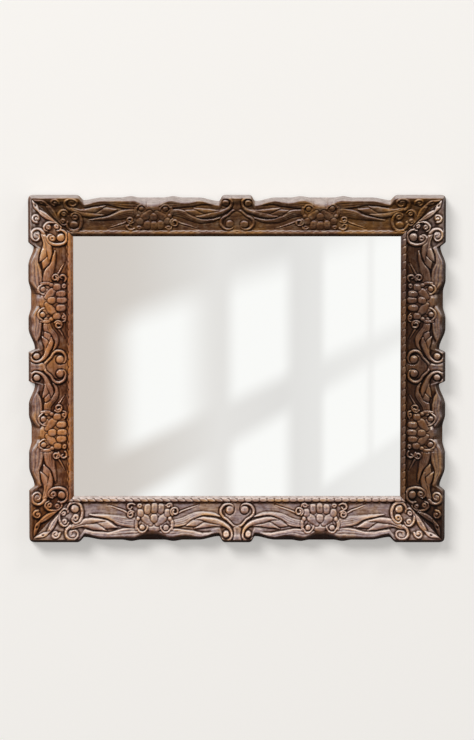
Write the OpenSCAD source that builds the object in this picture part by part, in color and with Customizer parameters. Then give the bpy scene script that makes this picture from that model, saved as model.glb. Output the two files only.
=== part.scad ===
// Wall mirror in a carved hardwood frame, seen from the back as a joiner builds it.
// The mirror hangs on a wall that is the plane y = 0, with the room on the -Y side.
// The origin is on the wall, behind the middle of the mirror. Sizes are in millimetres.

/* [Mirror and backing] */
// Width of the mirror glass
glass_w = 762; // [500:1:1200]
// Height of the mirror glass
glass_h = 610; // [400:1:1000]
// Thickness of the mirror glass
glass_t = 4; // [3:0.5:6]
// Thickness of the backing board
backing_t = 6; // [3:0.5:9]
// How far the frame laps over the glass on each side
lap = 10; // [6:0.5:14]
// Room between the edge of the glass and the wall of the rabbet
edge_gap = 2; // [1:0.5:3]

/* [Frame] */
// Width of the left and right rails
side_rail_w = 102; // [85:1:130]
// Width of the top rail
top_rail_w = 94; // [85:1:130]
// Width of the bottom rail
bottom_rail_w = 106; // [85:1:130]
// Height of the crest above the flat back of the frame
crest_h = 47; // [38:1:60]
// Thickness of the lip that holds the glass in
lip_t = 7; // [5:0.5:10]
// Height of the bead row above the ledge beside it
bead_h = 4; // [2:0.5:6]
// Height of the square arris at the outer edge of the back
back_edge_h = 4; // [2:0.5:8]

/* [Carved outline] */
// Half the width of the cartouche tab in the middle of a rail
tab_half = 32; // [20:1:40]
// Depth of the notch on each side of the tab, at the back edge
tab_notch = 14; // [8:1:20]
// Depth of the notch before each corner, at the back edge
corner_notch = 12; // [8:1:20]
// Distance from that notch to the corner of the opening
corner_notch_back = 21; // [15:1:40]
// Half the width of the flat part of the dip behind each flower
flower_half = 16; // [10:1:30]
// Depth of the dip behind each flower, at the back edge
flower_dip = 6; // [2:1:10]
// Depth of the dip behind each flower, at the crest
flower_hollow = 19; // [10:1:22]
// Depth of the hollow in the crest half way between the tab and the flower
leaf_hollow = 5; // [0:1:10]
// How far the leaves lie inside the corners on the top and bottom rails
leaf_set_wide = 6; // [0:1:8]
// How far the leaves lie inside the corners on the side rails
leaf_set_tall = 0; // [0:1:8]
// Place of the flower on the top and bottom rails, as a share between the two notches
flower_share_wide = 0.49; // [0.45:0.01:0.55]
// Place of the flower on the side rails, as a share between the two notches
flower_share_tall = 0.48; // [0.45:0.01:0.55]
// How far the leaf tips beside the flower stand out on the top and bottom rails
peak_rise = 3; // [0:1:5]
// How much deeper the notches are at the crest than at the back edge
notch_lean = 2; // [0:1:5]

/* [Mitre joints] */
// Length of each mitre spline along the joint
spline_l = 70; // [50:1:80]
// Width of each mitre spline across the joint
spline_w = 44; // [30:1:50]
// Thickness of each mitre spline
spline_t = 5; // [3:0.5:6]
// Height of the middle of a spline above the back
spline_h = 13; // [11:0.5:15]

/* [Turn buttons] */
// Length of a turn button from its pivot to its tip
button_reach = 22; // [19:0.5:26]
// Radius of a turn button's round ends
button_r = 6.5; // [5.5:0.5:8]
// Thickness of a turn button
button_t = 1.6; // [1:0.2:2]
// Distance from the wall of the rabbet to the button's screw
button_set = 12; // [9:0.5:14]
// Place of the buttons, as a share of half the opening
button_share = 0.66; // [0.6:0.01:0.75]

/* [Hangers] */
// Height of the hanger eyes above the middle of the mirror
hanger_up = 130; // [100:1:150]
// Distance from the opening to the middle of a hanger
hanger_set = 62; // [60:1:66]
// Width of a hanger strap
strap_w = 13; // [11:0.5:15]
// Length of a hanger strap below its eye
strap_l = 42; // [36:1:50]
// Thickness of a hanger strap
strap_t = 1.2; // [1:0.1:1.5]
// Radius of the hanger ring's wire
wire_r = 1.5; // [1.25:0.05:1.6]
// Half the width of the hanger ring, to the middle of its wire
ring_half = 11; // [10.5:0.5:13]
// Bend radius of the ring's lower corners
ring_bend = 3.5; // [3:0.5:4]
// Furthest screw below the eye, and the nearer one
strap_screw_far = 32; // [28:1:34]
strap_screw_near = 10; // [9.5:0.5:11]

/* [Screws and bumpers] */
// Radius of the screws' shanks
shank_r = 1.9; // [1.5:0.1:2.2]
// Radius of the screws' heads
head_r = 3.8; // [3.4:0.1:4]
// Height of the screws' heads
head_h = 1.9; // [1.5:0.1:2.2]
// How deep the screws go into the wood
screw_depth = 14; // [10:1:16]
// Thickness of the wall bumpers, which is the gap between the frame and the wall
bumper_t = 6; // [6:0.5:10]
// Radius of the wall bumpers
bumper_r = 9; // [6:0.5:12]
// Distance of the bumpers from the corners of the opening, towards the middle
bumper_in = 20; // [15:1:60]
// Length of the setting blocks under the glass
block_l = 40; // [25:1:60]

/* [Hidden] */

wood = "#6d4a30";
spline_wood = "#b08a5c";
backing_colour = "#8a6f4d";
steel = "#9a9a98";
silvered = "#dfe6ea";
felt = "#3a352f";

$fn = 48;
// Clearance of a moving fit, of a glued joint, of a screw in its pilot hole and under a rolled eye
fit = 0.08;
glue_gap = 0.1;
pilot_gap = 0.05;
eye_lift = 0.05;
// Room left between the back of the glass and the backing board
layer_gap = 0.3;
// Overlap that carries a cut past the face that it opens
past = 1;

rabbet_d = glass_t + layer_gap + backing_t;
sight_h = rabbet_d + lip_t;
half_w = glass_w / 2 - lap;
half_h = glass_h / 2 - lap;
rabbet_half_w = glass_w / 2 + edge_gap;
rabbet_half_h = glass_h / 2 + edge_gap;
rabbet_wall = lap + edge_gap;
back_y = -bumper_t;

// Shares of a rail's width, from the opening outwards. A share lets rails of unlike width meet on the mitre.
ledge_share = 0.02;
bead_share = 0.14;
bead_slope = 0.025;
crest_share = 0.9;
corner_round = 0.03;
// Rise of the ledge and of the foot of the face above the sight edge
ledge_rise = 0.7;
face_foot_h = sight_h + 1.2;
// How hollow the face is, and how the crest turns over into the outer side
hollow = 0.15;
crest_turn = 0.3;
crest_drop = 4;
// Places of the points on the face, as shares of the way from the bead row to the crest
face_steps = [0.02, 0.35, 0.7, 0.94, 1];
// Length of the outer edge over which a corner is rounded
corner_run = 14;
// Length before the corner of the opening where the stations start to lean into the mitre
mitre_run = 60;
station_step = 4;
mitre_stations = 12;

function ease(x) = let(c = min(1, max(0, x))) c * c * (3 - 2 * c);
// One smooth bump of height 1 at place, that ends at half on each side
function bump(x, place, half) = ease(1 - abs(x - place) / half);
// A dip with a flat bottom
function trough(x, place, half, run) = ease((half + run - abs(x - place)) / run);

// A notch is steep on the side of the tab or the corner, and runs out slowly along the leaf
notch_steep = 9;
notch_slow = 46;
// Run of the leaves' set-in at a notch, and of the dip behind a flower at the back edge
leaf_run = 14;
dip_run = 28;
// Half the length of the dip's flat bottom at the crest, and the length over which it runs out there
hollow_flat = 8;
hollow_run = 34;
// How far the tips beside the flower lie from its middle, and half the width of one
peak_out = 48;
peak_half = 22;
tab_notch_at = tab_half + notch_steep;

// What differs between the rails that lie along X and those that stand:
// half the opening along the rail, the share that places the flower, the set-in of the leaves
// and how far their tips stand out
wide_plan = [half_w, flower_share_wide, leaf_set_wide, peak_rise];
tall_plan = [half_h, flower_share_tall, leaf_set_tall, 0];

function corner_notch_at(plan) = plan[0] - corner_notch_back;
function flower_at(plan) = tab_notch_at + plan[1] * (corner_notch_at(plan) - tab_notch_at);
function leaf_at(plan) = (tab_notch_at + flower_at(plan)) / 2;
// The leaves reach from one notch to the other
function leaves(s, plan) = trough(s, (tab_notch_at + corner_notch_at(plan)) / 2,
    (corner_notch_at(plan) - tab_notch_at) / 2, leaf_run);

// A cut of height 1 at place. The leaf lies on its far side where leaf is 1, and on its near side where it is -1.
function notch(s, place, leaf) =
    let(d = (s - place) * leaf) ease(d < 0 ? 1 + d / notch_steep : 1 - d / notch_slow);

// How far the outer edge and the crest are cut back, at a distance s from the middle of the rail
function edge_cut(s, plan) =
    (tab_notch - plan[2]) * notch(s, tab_notch_at, 1)
    + (corner_notch - plan[2]) * notch(s, corner_notch_at(plan), -1)
    + plan[2] * leaves(s, plan)
    + (flower_dip - plan[2]) * trough(s, flower_at(plan), flower_half, dip_run)
    - plan[3] * (bump(s, flower_at(plan) - peak_out, peak_half)
        + bump(s, flower_at(plan) + peak_out, peak_half));
function crest_cut(s, plan) =
    (tab_notch + notch_lean - plan[2]) * notch(s, tab_notch_at, 1)
    + (corner_notch + notch_lean - plan[2]) * notch(s, corner_notch_at(plan), -1)
    + plan[2] * leaves(s, plan)
    + (flower_hollow - plan[2]) * trough(s, flower_at(plan), hollow_flat, hollow_run)
    + leaf_hollow * bump(s, leaf_at(plan), hollow_run);

// Height of the sloping face above the back, at a share u of the rail's width. The face is slightly hollow.
function face_height(u) =
    let(x = (u - bead_share) / (crest_share - bead_share))
    face_foot_h + (crest_h - face_foot_h) * x * (1 - hollow * (1 - x));

// The section of a rail as [share, height] pairs, from the inner back edge round to the outer one
function section(crest, edge) = [
    [0, 0],
    [0, sight_h],
    [ledge_share, sight_h + ledge_rise],
    [ledge_share + bead_slope, sight_h + bead_h],
    [bead_share - bead_slope, sight_h + bead_h],
    for (k = face_steps)
        let(u = bead_share + k * (crest - bead_share)) [u, face_height(u)],
    [crest + crest_turn * (edge - crest), face_height(crest) - crest_drop],
    [edge, back_edge_h],
    [edge, 0]];

// One rail, lying along X with the opening at z = 0, its width along +Z and its face towards -Y.
// width_low and width_high are the widths of the rails that it meets at its -X and +X ends.
module rail_blank(plan, width, width_low, width_high) {
    half = plan[0];
    straight = half - mitre_run;
    steps = ceil(2 * straight / station_step);
    stations = concat(
        [for (j = [mitre_stations:-1:1]) [-1, j / mitre_stations, width_low]],
        [for (i = [0:steps]) [0, straight * (2 * i / steps - 1), 0]],
        [for (j = [1:mitre_stations]) [1, j / mitre_stations, width_high]]);
    rows = [for (st = stations)
        let(nominal = abs(place(st, 1)),
            to_corner = half + st[2] - nominal,
            rounding = st[0] == 0 ? 0
                : corner_round * width * pow(max(0, 1 - to_corner / corner_run), 2),
            edge = 1 - (edge_cut(nominal, plan) + rounding) / width,
            crest = crest_share - crest_cut(nominal, plan) / width)
        [for (p = section(crest, edge)) [place(st, p[0]), -p[1], p[0] * width]]];
    around = len(rows[0]);
    last = len(rows) - 1;
    function place(st, u) = st[0] == 0 ? st[1]
        : st[0] * (straight + st[1] * (half + u * st[2] - straight));
    polyhedron(
        points = [for (row = rows) for (p = row) p],
        faces = concat(
            [for (i = [0:last - 1]) for (k = [0:around - 1])
                let(a = i * around + k, b = i * around + (k + 1) % around)
                each [[a, b + around, a + around], [a, b, b + around]]],
            [for (k = [1:around - 2]) [0, k + 1, k]],
            [for (k = [1:around - 2])
                [last * around, last * around + k, last * around + k + 1]]));
}

module rabbet() {
    translate([-rabbet_half_w, back_y - rabbet_d, -rabbet_half_h])
        cube([2 * rabbet_half_w, rabbet_d + past, 2 * rabbet_half_h]);
}

// A spline lies across a mitre. side and level are -1 or 1, and grow makes the slot that it fits.
module spline_block(side, level, grow) {
    across = level > 0 ? top_rail_w : bottom_rail_w;
    translate([side * (half_w + side_rail_w / 2), back_y - spline_h,
        level * (half_h + across / 2)])
        rotate([0, -side * level * atan2(across, side_rail_w), 0])
            cube([spline_l + 2 * grow, spline_t + 2 * grow, spline_w + 2 * grow], center = true);
}

// The places of the turn buttons: [x, z, turn about Y that points the tip at the opening]
button_out = rabbet_wall + button_set;
button_x = button_share * half_w;
button_z = button_share * half_h;
button_places = [
    [-button_x, half_h + button_out, 180], [button_x, half_h + button_out, 180],
    [-button_x, -half_h - button_out, 0], [button_x, -half_h - button_out, 0],
    [-half_w - button_out, button_z, 90], [-half_w - button_out, -button_z, 90],
    [half_w + button_out, button_z, -90], [half_w + button_out, -button_z, -90]];

hanger_x = half_w + hanger_set;
hanger_screw_places = [for (side = [-1, 1]) for (down = [strap_screw_near, strap_screw_far])
    [side * hanger_x, hanger_up - down]];

module pilot_hole(x, z, depth) {
    translate([x, back_y + past, z])
        rotate([90, 0, 0]) cylinder(r = shank_r + pilot_gap, h = depth + 2 * past);
}

module rail_cuts() {
    rabbet();
    for (side = [-1, 1]) for (level = [-1, 1]) spline_block(side, level, glue_gap);
    for (p = button_places) pilot_hole(p[0], p[1], screw_depth);
    for (p = hanger_screw_places) pilot_hole(p[0], p[1], screw_depth);
}

// turn carries the blank to its side of the opening: 0 top, 90 right, 180 bottom, -90 left
module rail(turn, reach, plan, width, width_low, width_high) {
    color(wood) difference() {
        translate([0, back_y, 0]) rotate([0, turn, 0]) translate([0, 0, reach])
            rail_blank(plan, width, width_low, width_high);
        rail_cuts();
    }
}

module top_rail() {
    rail(0, half_h, wide_plan, top_rail_w, side_rail_w, side_rail_w);
}

module bottom_rail() {
    rail(180, half_h, wide_plan, bottom_rail_w, side_rail_w, side_rail_w);
}

module left_rail() {
    rail(-90, half_w, tall_plan, side_rail_w, bottom_rail_w, top_rail_w);
}

module right_rail() {
    rail(90, half_w, tall_plan, side_rail_w, top_rail_w, bottom_rail_w);
}

module mitre_spline(side, level) {
    color(spline_wood) spline_block(side, level, 0);
}

module mirror_glass() {
    color(silvered) translate([-glass_w / 2, back_y - rabbet_d, -glass_h / 2])
        cube([glass_w, glass_t, glass_h]);
}

module backing_board() {
    color(backing_colour) translate([-glass_w / 2, back_y - backing_t, -glass_h / 2])
        cube([glass_w, backing_t, glass_h]);
}

// Two blocks stand on the bottom wall of the rabbet and carry the glass and the board
module setting_blocks() {
    color(felt) for (side = [-1, 1])
        translate([side * glass_w / 4 - block_l / 2, back_y - rabbet_d, -rabbet_half_h])
            cube([block_l, rabbet_d, edge_gap]);
}

module turn_button(n) {
    spot = button_places[n];
    color(steel) translate([spot[0], back_y + fit + button_t, spot[1]]) rotate([0, spot[2], 0])
        rotate([90, 0, 0]) difference() {
            linear_extrude(button_t) union() {
                circle(button_r);
                translate([0, button_reach - button_r]) circle(button_r);
                translate([-button_r, 0]) square([2 * button_r, button_reach - button_r]);
            }
            translate([0, 0, -past]) cylinder(r = shank_r + fit, h = button_t + 2 * past);
        }
}

// A screw whose head seats at z = 0 and whose shank goes down
module screw(depth) {
    slot_w = 0.9;
    slot_d = head_h / 2;
    rim_h = 0.55 * head_h;
    crown_r = 0.6 * head_r;
    difference() {
        union() {
            translate([0, 0, -depth]) cylinder(r = shank_r, h = depth);
            cylinder(r = head_r, h = rim_h);
            translate([0, 0, rim_h]) cylinder(r1 = head_r, r2 = crown_r, h = head_h - rim_h);
        }
        translate([-head_r - past, -slot_w / 2, head_h - slot_d])
            cube([2 * (head_r + past), slot_w, slot_d + past]);
    }
}

module turn_button_screws() {
    seat = button_t + 2 * fit;
    color(steel) for (p = button_places) translate([p[0], back_y + seat, p[1]])
        rotate([-90, 0, 0]) screw(screw_depth + seat);
}

module hanger_screws() {
    color(steel) for (p = hanger_screw_places) translate([p[0], back_y + strap_t, p[1]])
        rotate([-90, 0, 0]) screw(screw_depth + strap_t);
}

// Radii of the rolled eye, and the height of its axis above the back of the frame
eye_r = wire_r + fit;
eye_out = eye_r + strap_t;
eye_up = eye_out + eye_lift;

module hanger_strap(side) {
    color(steel) translate([side * hanger_x, back_y, hanger_up]) difference() {
        union() {
            translate([-strap_w / 2, 0, -strap_l]) cube([strap_w, strap_t, strap_l]);
            translate([-strap_w / 2, eye_up, 0]) rotate([0, 90, 0])
                cylinder(r = eye_out, h = strap_w);
        }
        translate([-strap_w / 2 - past, eye_up, 0]) rotate([0, 90, 0])
            cylinder(r = eye_r, h = strap_w + 2 * past);
        for (down = [strap_screw_near, strap_screw_far])
            translate([0, strap_t + past, -down]) rotate([90, 0, 0])
                cylinder(r = shank_r + pilot_gap, h = strap_t + 2 * past);
    }
}

// Straight stretch of wire of a given length along X
module wire(length) {
    rotate([0, 90, 0]) cylinder(r = wire_r, h = length);
}

// Bent stretch of wire in the XZ plane, round the origin, from one angle through another
module bend(radius, start, sweep) {
    rotate([90, 0, 0]) rotate([0, 0, start]) rotate_extrude(angle = sweep)
        translate([radius, 0]) circle(wire_r);
}

module hanger_ring(side) {
    bar_half = ring_half - ring_bend;
    color(steel) translate([side * hanger_x, back_y + eye_up, hanger_up]) {
        translate([-bar_half, 0, 0]) wire(2 * bar_half);
        translate([bar_half, 0, ring_bend]) bend(ring_bend, -90, 90);
        translate([-bar_half, 0, ring_bend]) bend(ring_bend, 180, 90);
        translate([0, 0, ring_bend]) bend(ring_half, 0, 180);
    }
}

module wall_bumpers() {
    color(felt) for (side = [-1, 1]) for (z = [half_h + top_rail_w / 2, -half_h - bottom_rail_w / 2])
        translate([side * (half_w - bumper_in), 0, z]) rotate([90, 0, 0])
            cylinder(r = bumper_r, h = bumper_t);
}

top_rail();
bottom_rail();
left_rail();
right_rail();
mitre_spline(-1, 1);  // mitre_spline_top_left
mitre_spline(1, 1);  // mitre_spline_top_right
mitre_spline(-1, -1);  // mitre_spline_bottom_left
mitre_spline(1, -1);  // mitre_spline_bottom_right
mirror_glass();
backing_board();
setting_blocks();
turn_button(0);  // turn_button_top_left
turn_button(1);  // turn_button_top_right
turn_button(2);  // turn_button_bottom_left
turn_button(3);  // turn_button_bottom_right
turn_button(4);  // turn_button_left_upper
turn_button(5);  // turn_button_left_lower
turn_button(6);  // turn_button_right_upper
turn_button(7);  // turn_button_right_lower
turn_button_screws();
hanger_strap(-1);  // hanger_strap_left
hanger_strap(1);  // hanger_strap_right
hanger_ring(-1);  // hanger_ring_left
hanger_ring(1);  // hanger_ring_right
hanger_screws();
wall_bumpers();
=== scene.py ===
import math

import bmesh
import bpy
import numpy as np
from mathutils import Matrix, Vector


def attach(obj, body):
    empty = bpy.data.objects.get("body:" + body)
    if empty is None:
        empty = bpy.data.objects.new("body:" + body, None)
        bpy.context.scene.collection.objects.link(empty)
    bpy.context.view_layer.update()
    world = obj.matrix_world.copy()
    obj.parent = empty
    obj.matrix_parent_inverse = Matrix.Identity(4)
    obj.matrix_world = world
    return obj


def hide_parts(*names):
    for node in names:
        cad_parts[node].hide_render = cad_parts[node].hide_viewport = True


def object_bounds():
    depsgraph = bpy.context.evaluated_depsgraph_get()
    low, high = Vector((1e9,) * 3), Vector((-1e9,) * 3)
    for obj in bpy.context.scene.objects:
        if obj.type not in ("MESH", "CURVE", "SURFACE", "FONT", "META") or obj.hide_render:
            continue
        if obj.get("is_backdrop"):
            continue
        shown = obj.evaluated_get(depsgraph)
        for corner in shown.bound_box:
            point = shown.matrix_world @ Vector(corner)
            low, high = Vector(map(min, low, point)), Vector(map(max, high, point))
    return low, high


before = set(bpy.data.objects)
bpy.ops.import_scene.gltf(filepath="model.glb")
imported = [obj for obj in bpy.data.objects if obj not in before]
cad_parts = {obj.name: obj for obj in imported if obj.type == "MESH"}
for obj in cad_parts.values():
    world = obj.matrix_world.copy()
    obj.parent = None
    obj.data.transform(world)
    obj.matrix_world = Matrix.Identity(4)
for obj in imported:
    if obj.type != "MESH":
        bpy.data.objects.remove(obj)  # frame["bodies"], ["nodes"], ["joints"], ["record"]
cad_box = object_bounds()

# Four rails of dark waxed hardwood, each carved from one board and mitred at the corners.
# Each is one grid wrapped round the rail's section, and the ornament is raised and cut on it
# as overlapping strokes, from the ground up. Measures here are millimetres, scaled at the end.
MILLIMETRE = 0.001
SIGHT_HALF_WIDE = 371
SIGHT_HALF_TALL = 295
SIDE_WIDTH = 102
TOP_WIDTH = 94
BOTTOM_WIDTH = 106


def ease(x):
    """A soft step from 0 to 1."""
    x = np.clip(x, 0, 1)
    return x * x * (3 - 2 * x)


def bump(x, place, half):
    """1 at the place, and softly down to 0 at that distance from it."""
    return ease(1 - np.abs(x - place) / half)


def trough(x, place, half, run):
    """1 up to that distance from the place, and softly down to 0 over the run beyond it."""
    return ease((half + run - np.abs(x - place)) / run)


# The wavy edge: square tabs and corner blocks, a dip behind each flower, and leaves between.
TAB_NOTCH = 41
CORNER_BACK = 21
NOTCH_STEEP = 9
NOTCH_TAIL = 46
TAB_CUT = 14
CORNER_CUT = 12
LEAF_RUN = 14
DIP_CUT = 6
DIP_HALF = 16
DIP_RUN = 28
PEAK_AWAY = 48
PEAK_HALF = 22
CORNER_ROUND = 14
CORNER_ROUND_SHARE = 0.03
# The crest of the face follows that edge a little further in, and dips deeper at the flowers.
CREST_SHARE = 0.9
CREST_TAB_CUT = 16
CREST_CORNER_CUT = 14
CREST_DIP_CUT = 19
CREST_DIP_HALF = 8
CREST_DIP_RUN = 34
CREST_SWELL = 5
CREST_SWELL_HALF = 34


def notch(x, place, leaf):
    """A cut that is steep beside the tab or the corner and runs out slowly along the leaf."""
    d = (x - place) * leaf
    return ease(np.where(d < 0, 1 + d / NOTCH_STEEP, 1 - d / NOTCH_TAIL))


def wavy_edge(s, width, kind, met):
    """Where the outer edge and the crest lie, as shares of the rail's width, at places along."""
    half = kind["half"]
    flower_at = kind["flower_at"]
    leaf_set = kind["leaf_set"]
    corner_notch = half - CORNER_BACK
    leaf_at = (TAB_NOTCH + flower_at) / 2
    leaves = trough(s, (TAB_NOTCH + corner_notch) / 2, (corner_notch - TAB_NOTCH) / 2, LEAF_RUN)
    tab = notch(s, TAB_NOTCH, 1)
    corner = notch(s, corner_notch, -1)
    dip = trough(s, flower_at, DIP_HALF, DIP_RUN)
    edge_cut = (TAB_CUT - leaf_set) * tab + (CORNER_CUT - leaf_set) * corner
    edge_cut += leaf_set * leaves + (DIP_CUT - leaf_set) * dip
    peaks = bump(s, flower_at - PEAK_AWAY, PEAK_HALF) + bump(s, flower_at + PEAK_AWAY, PEAK_HALF)
    edge_cut -= kind["peak"] * peaks
    crest_cut = (CREST_TAB_CUT - leaf_set) * tab + (CREST_CORNER_CUT - leaf_set) * corner
    crest_cut = crest_cut + leaf_set * leaves
    crest_dip = trough(s, flower_at, CREST_DIP_HALF, CREST_DIP_RUN)
    swell = CREST_SWELL * bump(s, leaf_at, CREST_SWELL_HALF)
    crest_cut += (CREST_DIP_CUT - leaf_set) * crest_dip + swell
    corner_gap = half + met - s
    rounding = np.clip(1 - corner_gap / CORNER_ROUND, 0, 1) ** 2
    rounding = CORNER_ROUND_SHARE * width * rounding
    return 1 - (edge_cut + rounding) / width, CREST_SHARE - crest_cut / width


# Unevenness comes from a lattice that repeats, read well away from its first row and column.
LATTICE = 64
LATTICE_ALONG = 1000.37
LATTICE_OUT = 1000.71


def rough(x, y, size, seed):
    """Smooth unevenness from -1 to 1 with lumps of about that size."""
    lattice = np.random.default_rng(seed).uniform(-1, 1, (LATTICE, LATTICE))
    u = x / size + LATTICE_ALONG
    v = y / size + LATTICE_OUT
    i = np.floor(u).astype(int)
    j = np.floor(v).astype(int)
    fu = ease(u - i)
    fv = ease(v - j)
    i_next = (i + 1) % LATTICE
    j_next = (j + 1) % LATTICE
    i = i % LATTICE
    j = j % LATTICE
    low = lattice[i, j] * (1 - fu) + lattice[i_next, j] * fu
    high = lattice[i, j_next] * (1 - fu) + lattice[i_next, j_next] * fu
    return low * (1 - fv) + high * fv


def curve(points, steps=6):
    """A smooth line through given points of place along, distance out and half width."""
    p = np.array(points, float)
    p = np.vstack([2 * p[0] - p[1], p, 2 * p[-1] - p[-2]])
    line = []
    s = np.linspace(0, 1, steps, endpoint=False)[:, None]
    for k in range(1, len(p) - 2):
        a, b, c, d = p[k - 1 : k + 3]
        bend = 2 * a - 5 * b + 4 * c - d + s * (3 * (b - c) + d - a)
        line.append(b + 0.5 * s * (c - a + s * bend))
    return np.vstack(line + [p[-2:-1]])


POINTS_A_TURN = 10


def spiral(eye_a, eye_t, outer, inner, start, turns, wide, thin):
    """Points of a volute band, from its outer end winding in to the eye."""
    points = []
    steps = abs(turns) * POINTS_A_TURN
    for k in range(int(steps) + 1):
        f = k / steps
        angle = math.radians(start) + turns * f * math.tau
        r = outer + (inner - outer) * f
        half = wide + (thin - wide) * f
        points.append((eye_a + r * math.cos(angle), eye_t + r * math.sin(angle), half))
    return points


# How soft a stroke's edge is, and how thin its ends may get.
STROKE_SOFT = 2.4
THINNEST_STROKE = 0.35


class Relief:
    """The height of the ornament over the sunk ground, at every point of a rail's face."""

    def __init__(self, a, t, placed):
        self.a = a
        self.t = t
        self.z = np.zeros(a.shape)
        self.placed = placed

    def stroke(
        self, points, rise, crown, grooves=0, cut=0.5, moat=1.8, deep=1.4, lean=0.0, rigid=False
    ):
        """A raised band along a line, rounded across, with lengthwise grooves and a cut-in edge."""
        middle = np.mean([p[0] for p in points])
        move = self.placed(middle) - middle
        if rigid:
            points = [(p[0] + move, p[1], p[2]) for p in points]
        else:
            points = [(self.placed(p[0]), p[1], p[2]) for p in points]
        line = curve(points)
        pad = line[:, 2].max() + moat + 2
        low = line.min(0) - pad
        high = line.max(0) + pad
        near = (self.a > low[0]) & (self.a < high[0]) & (self.t > low[1]) & (self.t < high[1])
        if not near.any():
            return
        a = self.a[near]
        t = self.t[near]
        gap = np.full(a.shape, np.inf)
        across = np.zeros(a.shape)
        for p, q in zip(line, line[1:]):
            da = q[0] - p[0]
            dt = q[1] - p[1]
            f = np.clip(((a - p[0]) * da + (t - p[1]) * dt) / (da * da + dt * dt + 1e-9), 0, 1)
            half = np.maximum(p[2] + (q[2] - p[2]) * f, THINNEST_STROKE)
            oa = a - p[0] - f * da
            ot = t - p[1] - f * dt
            away = np.hypot(oa, ot)
            closer = away - half < gap
            gap = np.where(closer, away - half, gap)
            side = np.sign(da * ot - dt * oa)
            across = np.where(closer, side * away / half, across)
        rounded = np.sqrt(np.clip(1 - across**2, 0, 1)) - 0.6
        top = rise + 1.6 * crown * rounded + lean * across
        if grooves:
            top = top - cut * (0.5 + 0.5 * np.cos(across * math.pi * grooves)) ** 2
        if lean:
            deep = deep * np.where(across * lean > 0, 1, 0.25)
        below = self.z[near] - deep * ease(1 - gap / moat)
        on = ease(0.5 - gap / STROKE_SOFT)
        self.z[near] = below * (1 - on) + top * on

    def ball(self, a, t, ra, rt, rise, crown, moat=1.4, deep=1.2, dent=0.0, square=2.0):
        """A rounded boss, with an eye drilled in it where dent is set."""
        a = self.placed(a)
        out = np.abs((self.a - a) / ra) ** square + np.abs((self.t - t) / rt) ** square
        out = out ** (1 / square)
        gap = (out - 1) * min(ra, rt)
        near = gap < moat + 1
        top = rise + crown * (np.sqrt(np.clip(1 - out**2, 0, 1)) - 0.35)
        top = top - dent * ease(1.3 - out / 0.34)
        below = self.z - deep * ease(1 - gap / moat)
        on = ease(0.5 - gap / STROKE_SOFT)
        self.z = np.where(near, below * (1 - on) + top * on, self.z)

    def hole(self, a, t, r, deep):
        """An eye drilled or gouged into what is there."""
        a = self.placed(a)
        gap = np.hypot(self.a - a, self.t - t) - r
        self.z = self.z - deep * ease(0.5 - gap / 1.4)


def sweeping_leaves(relief):
    """Leaves on each side of the flower, higher along their lower edge, and its two tendrils."""
    leaf = dict(rise=3.2, crown=1.4, cut=1.0, deep=2.4, moat=3)
    relief.stroke(
        [(150, 60, 7), (136, 59.5, 9), (119, 55, 9.4), (103, 46.5, 8.2), (88, 40, 6), (70, 38, 4.6),
         (54, 40, 4), (39, 46, 1.8)],
        grooves=4, lean=-1.4, **leaf,
    )
    relief.stroke(
        [(236, 58, 12), (252, 56, 11.5), (266, 53, 10.5), (280, 48.5, 7), (296, 45, 5), (314, 43, 4),
         (335, 41, 1)],
        grooves=5, lean=1.4, **leaf,
    )
    tendril = dict(rise=1.8, crown=1.0, deep=3.4, moat=2.6)
    inner = [(86, 20, 0.5), (104, 26, 1.5), (124, 33, 2.1), (134, 38, 2.0)]
    outer = [(292, 20, 0.5), (275, 26.5, 1.5), (258, 33, 2.1), (249, 38, 2.0)]
    relief.stroke(inner, lean=-0.6, **tendril)
    relief.stroke(outer, lean=0.6, **tendril)


def buds(relief):
    """A tulip bud near the middle of the rail, and a longer one towards the corner."""
    relief.stroke(
        [(60, 57, 7), (78, 58, 9.4), (94, 59, 9.4), (106, 62, 5.6), (117, 66, 0.5)],
        rise=3.0, crown=2.8, deep=2.4,
    )
    relief.stroke(
        [(30, 64, 4.2), (46, 60.5, 6.2), (61, 61, 7.6), (75, 64, 6.4), (87, 68, 3.4), (98, 71.5, 0.6)],
        rise=3.9, crown=2.4, deep=2.2,
    )
    relief.stroke(
        [(332, 58, 9), (314, 61, 11.5), (298, 62.5, 10.5), (283, 65.5, 5.5), (270, 69, 0.5)],
        rise=3.0, crown=2.9, deep=2.4,
    )
    relief.stroke(
        [(374, 69, 4.5), (357, 63, 5.8), (342, 62, 7.8), (327, 65, 8.8), (311, 70.5, 6),
         (295, 77, 0.6)],
        rise=4.0, crown=2.5, deep=2.2,
    )
    relief.stroke(
        [(386, 73, 3.6), (367, 62.5, 4.8), (350, 56, 6.2), (332, 53.5, 6.4), (316, 53, 4.6),
         (297, 55, 0.5)],
        rise=4.7, crown=2.2, deep=2.4,
    )


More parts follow.
